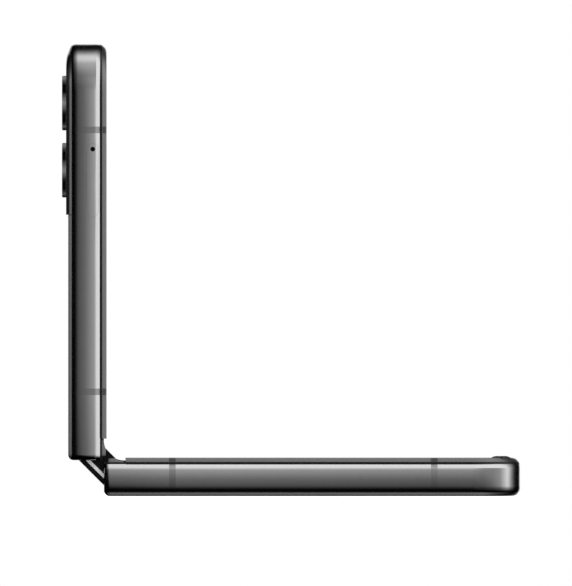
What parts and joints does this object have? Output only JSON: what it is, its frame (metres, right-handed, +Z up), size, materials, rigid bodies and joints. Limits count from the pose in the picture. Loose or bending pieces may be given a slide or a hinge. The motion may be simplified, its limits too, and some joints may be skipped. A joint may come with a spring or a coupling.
{
  "type": "foldable smartphone",
  "caption": "Clamshell foldable smartphone open at a right angle, with a two-axis geared fold hinge, raised rear camera glass, side keys and a card tray.",
  "frame": {"origin": "middle of the underside of the lower half, on the face it rests on", "axes": "+Z up, away from the resting face; +X from the fold to the far end of the lower half; +Y across, towards the side with the keys"},
  "size_m": [0.0906, 0.0724, 0.0894],
  "materials": {
    "metal": "polished",
    "bright": "polished",
    "steel": "satin",
    "brass": "satin",
    "rear_glass": "satin",
    "black_glass": "gloss",
    "screen": "gloss",
    "clear": "gloss",
    "bezel": "satin",
    "strip": "satin",
    "black": "matte",
    "board": "satin",
    "cell": "satin",
    "copper": "satin",
    "rubber": "matte"
  },
  "bodies": {
    "lower": {"lower_frame": "metal", "lower_back_glass": "rear_glass", "lower_bezel": "bezel", "lower_display": "screen", "lower_support_plate": "steel", "lower_antenna_strips": "strip", "lower_battery": "cell", "sub_board": "board", "usb_c_shell": "steel", "usb_c_tongue": "black", "loudspeaker": "black", "vibration_motor": "steel", "microphone": "brass", "charging_coil": "copper", "bumpers": "rubber", "lower_hinge_brackets": "steel", "lower_hinge_screws": "steel"},
    "spine": {"spine_shell": "metal", "hinge_bases": "steel", "fold_caps": "black", "gear_pins": "steel", "disc_springs": "steel", "cam_plates": "steel", "display_fold": "screen"},
    "upper": {"upper_frame": "metal", "upper_back_glass": "rear_glass", "upper_bezel": "bezel", "upper_display": "screen", "upper_support_plate": "steel", "upper_antenna_strips": "strip", "upper_battery": "cell", "main_board": "board", "shield_cans": "steel", "earpiece": "black", "front_camera": "black", "cover_glass": "black_glass", "cover_display": "screen", "camera_rings": "bright", "camera_lenses": "black_glass", "main_camera": "black", "wide_camera": "black", "flash_window": "clear", "flash_led": "board", "sim_reader": "steel", "key_switches": "copper", "upper_hinge_brackets": "steel", "upper_hinge_screws": "steel"},
    "lower_idler": {"lower_idlers": "brass"},
    "upper_idler": {"upper_idlers": "brass"},
    "tray": {"sim_tray": "metal"},
    "power": {"power_key": "metal"},
    "volume": {"volume_key": "metal"}
  },
  "joints": [
    {"name": "fold_lower", "type": "hinge", "parent": "lower", "child": "spine", "pos_m": [-0.0384, 0, 0.0055], "axis": [0, -1, 0], "range_deg": [-45.4, 45], "deforming": ["display_fold"]},
    {"name": "fold_upper", "type": "hinge", "parent": "spine", "child": "upper", "pos_m": [-0.04271, 0, 0.00981], "axis": [0, -1, 0], "range_deg": [-45.4, 45]},
    {"name": "lower_idler_turn", "type": "hinge", "parent": "spine", "child": "lower_idler", "pos_m": [-0.0409, 0, 0.00555], "axis": [0, -1, 0], "range_deg": [-45.4, 45]},
    {"name": "upper_idler_turn", "type": "hinge", "parent": "spine", "child": "upper_idler", "pos_m": [-0.04267, 0, 0.00731], "axis": [0, -1, 0], "range_deg": [-45.4, 45.4]},
    {"name": "tray_slide", "type": "slide", "parent": "upper", "child": "tray", "axis": [0, -1, 0], "range_m": [0, 0.015]},
    {"name": "power_press", "type": "slide", "parent": "upper", "child": "power", "axis": [0, -1, 0], "range_m": [0, 0.00025], "stiffness_N_per_m": 2000, "springref_m": -0.0001},
    {"name": "volume_rock", "type": "hinge", "parent": "upper", "child": "volume", "pos_m": [-0.04481, 0.03515, 0.06836], "axis": [1, 0, 0], "range_deg": [-1.2, 1.2], "stiffness_Nm_per_rad": 0.5}
  ],
  "couplings": [
    {"joint": "fold_upper", "follows": "fold_lower", "ratio": 1},
    {"joint": "lower_idler_turn", "follows": "fold_lower", "ratio": 1},
    {"joint": "upper_idler_turn", "follows": "fold_lower", "ratio": -1}
  ]
}
